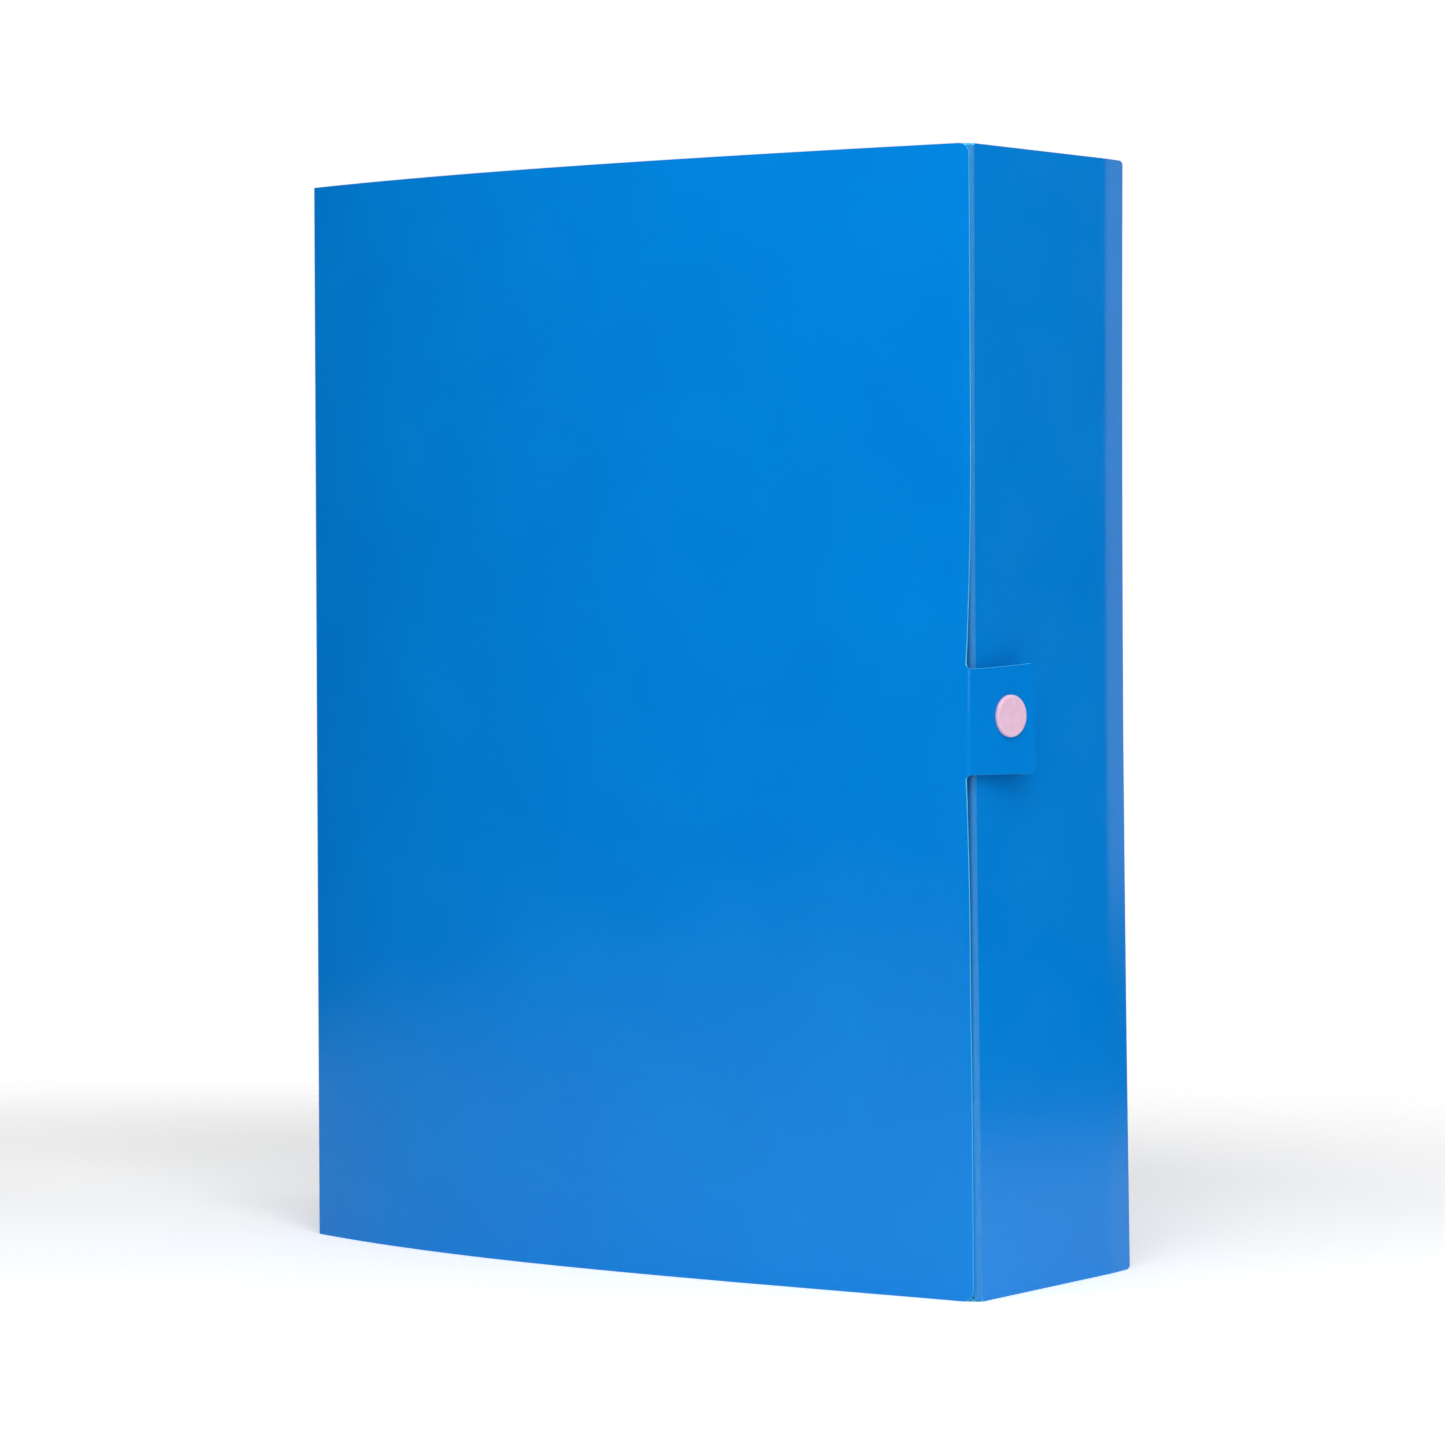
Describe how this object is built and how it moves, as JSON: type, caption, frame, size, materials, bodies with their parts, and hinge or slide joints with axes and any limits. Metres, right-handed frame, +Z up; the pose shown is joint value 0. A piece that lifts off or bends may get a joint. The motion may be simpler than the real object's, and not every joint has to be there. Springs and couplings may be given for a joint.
{
  "type": "archival box",
  "caption": "Upright document box of glossy creased card: a tray with glued corners, a hinged front cover, inner flaps and a closing tab with a press stud.",
  "frame": {"origin": "middle of the tail wall's outer face, which the box stands on", "axes": "+Z up from tail to head, +X from the spine to the fore edge, +Y from the front cover to the back panel"},
  "size_m": [0.2547, 0.0921, 0.33],
  "materials": {
    "laminated_card": "gloss",
    "stud_plastic": "gloss"
  },
  "bodies": {
    "tray": {"back_panel": "laminated_card", "spine_panel": "laminated_card", "fore_edge_wall": "laminated_card", "head_wall": "laminated_card", "tail_wall": "laminated_card", "back_spine_crease": "laminated_card", "back_fore_edge_crease": "laminated_card", "back_head_crease": "laminated_card", "back_tail_crease": "laminated_card", "head_spine_corner_flap": "laminated_card", "head_spine_corner_crease": "laminated_card", "head_fore_edge_corner_flap": "laminated_card", "head_fore_edge_corner_crease": "laminated_card", "tail_spine_corner_flap": "laminated_card", "tail_spine_corner_crease": "laminated_card", "tail_fore_edge_corner_flap": "laminated_card", "tail_fore_edge_corner_crease": "laminated_card", "press_stud_stud": "stud_plastic", "press_stud_backing": "stud_plastic"},
    "cover": {"front_cover": "laminated_card", "spine_cover_crease": "laminated_card"},
    "tab": {"closing_tab": "laminated_card", "cover_tab_crease": "laminated_card", "press_stud_cap": "stud_plastic", "press_stud_socket": "stud_plastic"},
    "fore_edge_flap": {"fore_edge_inner_flap": "laminated_card", "fore_edge_flap_crease": "laminated_card"},
    "head_flap": {"head_inner_flap": "laminated_card", "head_flap_crease": "laminated_card"},
    "tail_flap": {"tail_inner_flap": "laminated_card", "tail_flap_crease": "laminated_card"}
  },
  "joints": [
    {"name": "cover_hinge", "type": "hinge", "parent": "tray", "child": "cover", "pos_m": [-0.12465, -0.04015, 0.165], "axis": [0, 0, -1], "range_deg": [0, 178], "deforming": ["spine_cover_crease"]},
    {"name": "tab_hinge", "type": "hinge", "parent": "cover", "child": "tab", "pos_m": [0.1242, -0.0435, 0.1653], "axis": [0, 0, -1], "range_deg": [0, 110], "deforming": ["cover_tab_crease", "press_stud_socket"]},
    {"name": "fore_edge_flap_hinge", "type": "hinge", "parent": "tray", "child": "fore_edge_flap", "pos_m": [0.12365, -0.03945, 0.165], "axis": [0, 0, 1], "range_deg": [0, 89], "deforming": ["fore_edge_flap_crease"]},
    {"name": "head_flap_hinge", "type": "hinge", "parent": "tray", "child": "head_flap", "pos_m": [-0.0013, -0.03945, 0.32965], "axis": [-1, 0, 0], "range_deg": [0, 89], "deforming": ["head_flap_crease"]},
    {"name": "tail_flap_hinge", "type": "hinge", "parent": "tray", "child": "tail_flap", "pos_m": [-0.0013, -0.03945, 0.00035], "axis": [1, 0, 0], "range_deg": [0, 89], "deforming": ["tail_flap_crease"]}
  ],
  "couplings": [
    {"joint": "fore_edge_flap_hinge", "follows": "cover_hinge", "ratio": 0.5},
    {"joint": "head_flap_hinge", "follows": "cover_hinge", "ratio": 0.5},
    {"joint": "tail_flap_hinge", "follows": "cover_hinge", "ratio": 0.5}
  ]
}
